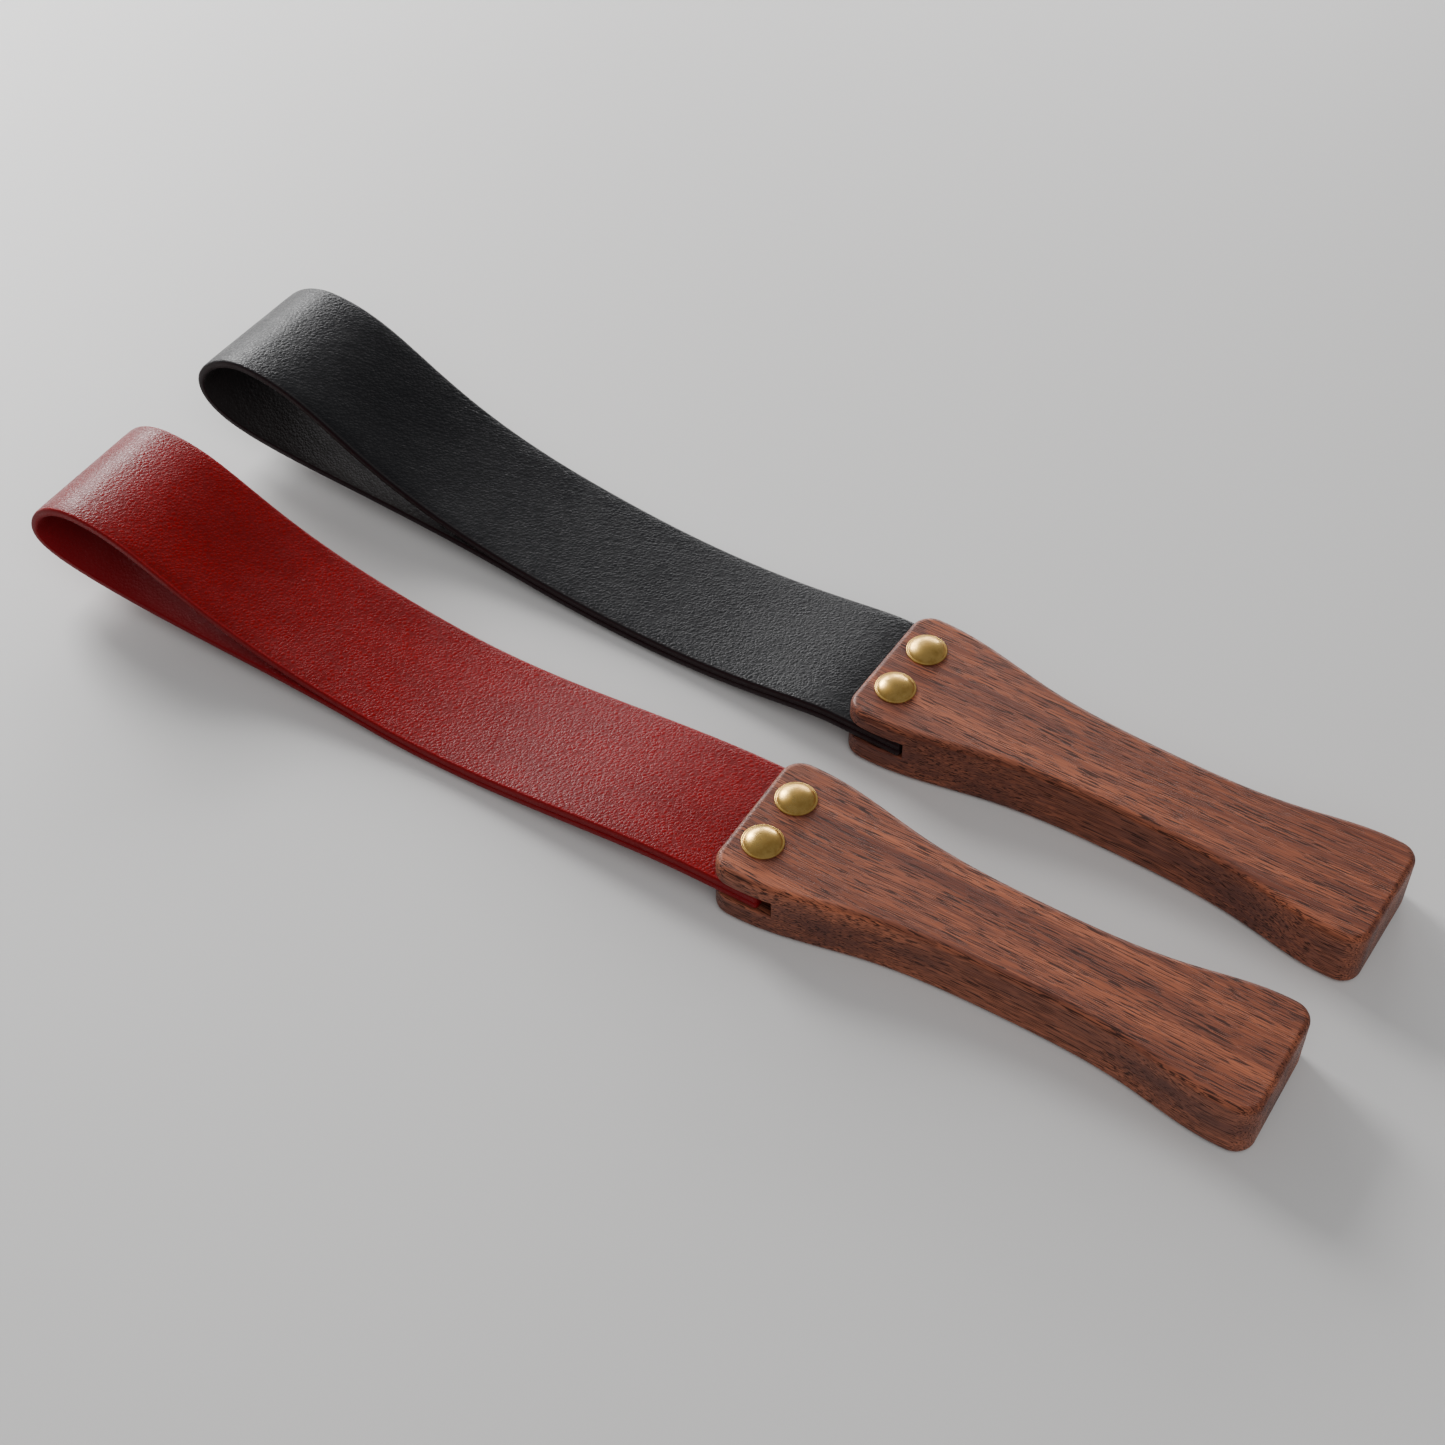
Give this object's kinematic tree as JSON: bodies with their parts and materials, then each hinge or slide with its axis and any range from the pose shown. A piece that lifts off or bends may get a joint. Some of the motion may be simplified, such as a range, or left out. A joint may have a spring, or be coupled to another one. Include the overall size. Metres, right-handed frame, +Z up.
{
  "type": "leather strap on handle",
  "caption": "Looped flat leather straps, each riveted by its two tails into the slotted head of a waisted wooden hand grip, laid side by side.",
  "frame": {"origin": "on the surface that both items lie on, under the middle of the pair's bounding box", "axes": "+X along the pair from the butts to the loops, +Y from the black item to the red one, +Z up"},
  "size_m": [0.3828, 0.1142, 0.0387],
  "materials": {
    "red_wood": "oiled satin, fine dark pores along the length",
    "black_wood": "oiled satin, fine dark pores along the length",
    "red_leather": "fine pebbled grain, satin, dark burnished edges",
    "black_leather": "fine grain with light creases, satin, dark burnished edges",
    "rivet_brass": "satin polished"
  },
  "bodies": {
    "red_handle_set": {"red_handle": "red_wood", "red_strap_tails": "red_leather", "red_rivet_post_far": "rivet_brass", "red_rivet_cap_far": "rivet_brass", "red_rivet_post_near": "rivet_brass", "red_rivet_cap_near": "rivet_brass"},
    "red_free_strap": {"red_strap_loop": "red_leather"},
    "black_handle_set": {"black_handle": "black_wood", "black_strap_tails": "black_leather", "black_rivet_post_far": "rivet_brass", "black_rivet_cap_far": "rivet_brass", "black_rivet_post_near": "rivet_brass", "black_rivet_cap_near": "rivet_brass"},
    "black_free_strap": {"black_strap_loop": "black_leather"}
  },
  "joints": [
    {"name": "red_strap_flex", "type": "hinge", "parent": "red_handle_set", "child": "red_free_strap", "pos_m": [-0.03551, 0.03256, 0.0102], "axis": [0.0157, -0.9999, 0], "range_deg": [-35, 35], "stiffness_Nm_per_rad": 5},
    {"name": "black_lift", "type": "slide", "parent": "red_handle_set", "child": "black_handle_set", "axis": [0, 0, 1], "range_m": [0, 0.2]},
    {"name": "black_strap_flex", "type": "hinge", "parent": "black_handle_set", "child": "black_free_strap", "pos_m": [-0.03771, -0.03256, 0.0102], "axis": [-0.0157, -0.9999, 0], "range_deg": [-35, 35], "stiffness_Nm_per_rad": 5}
  ]
}
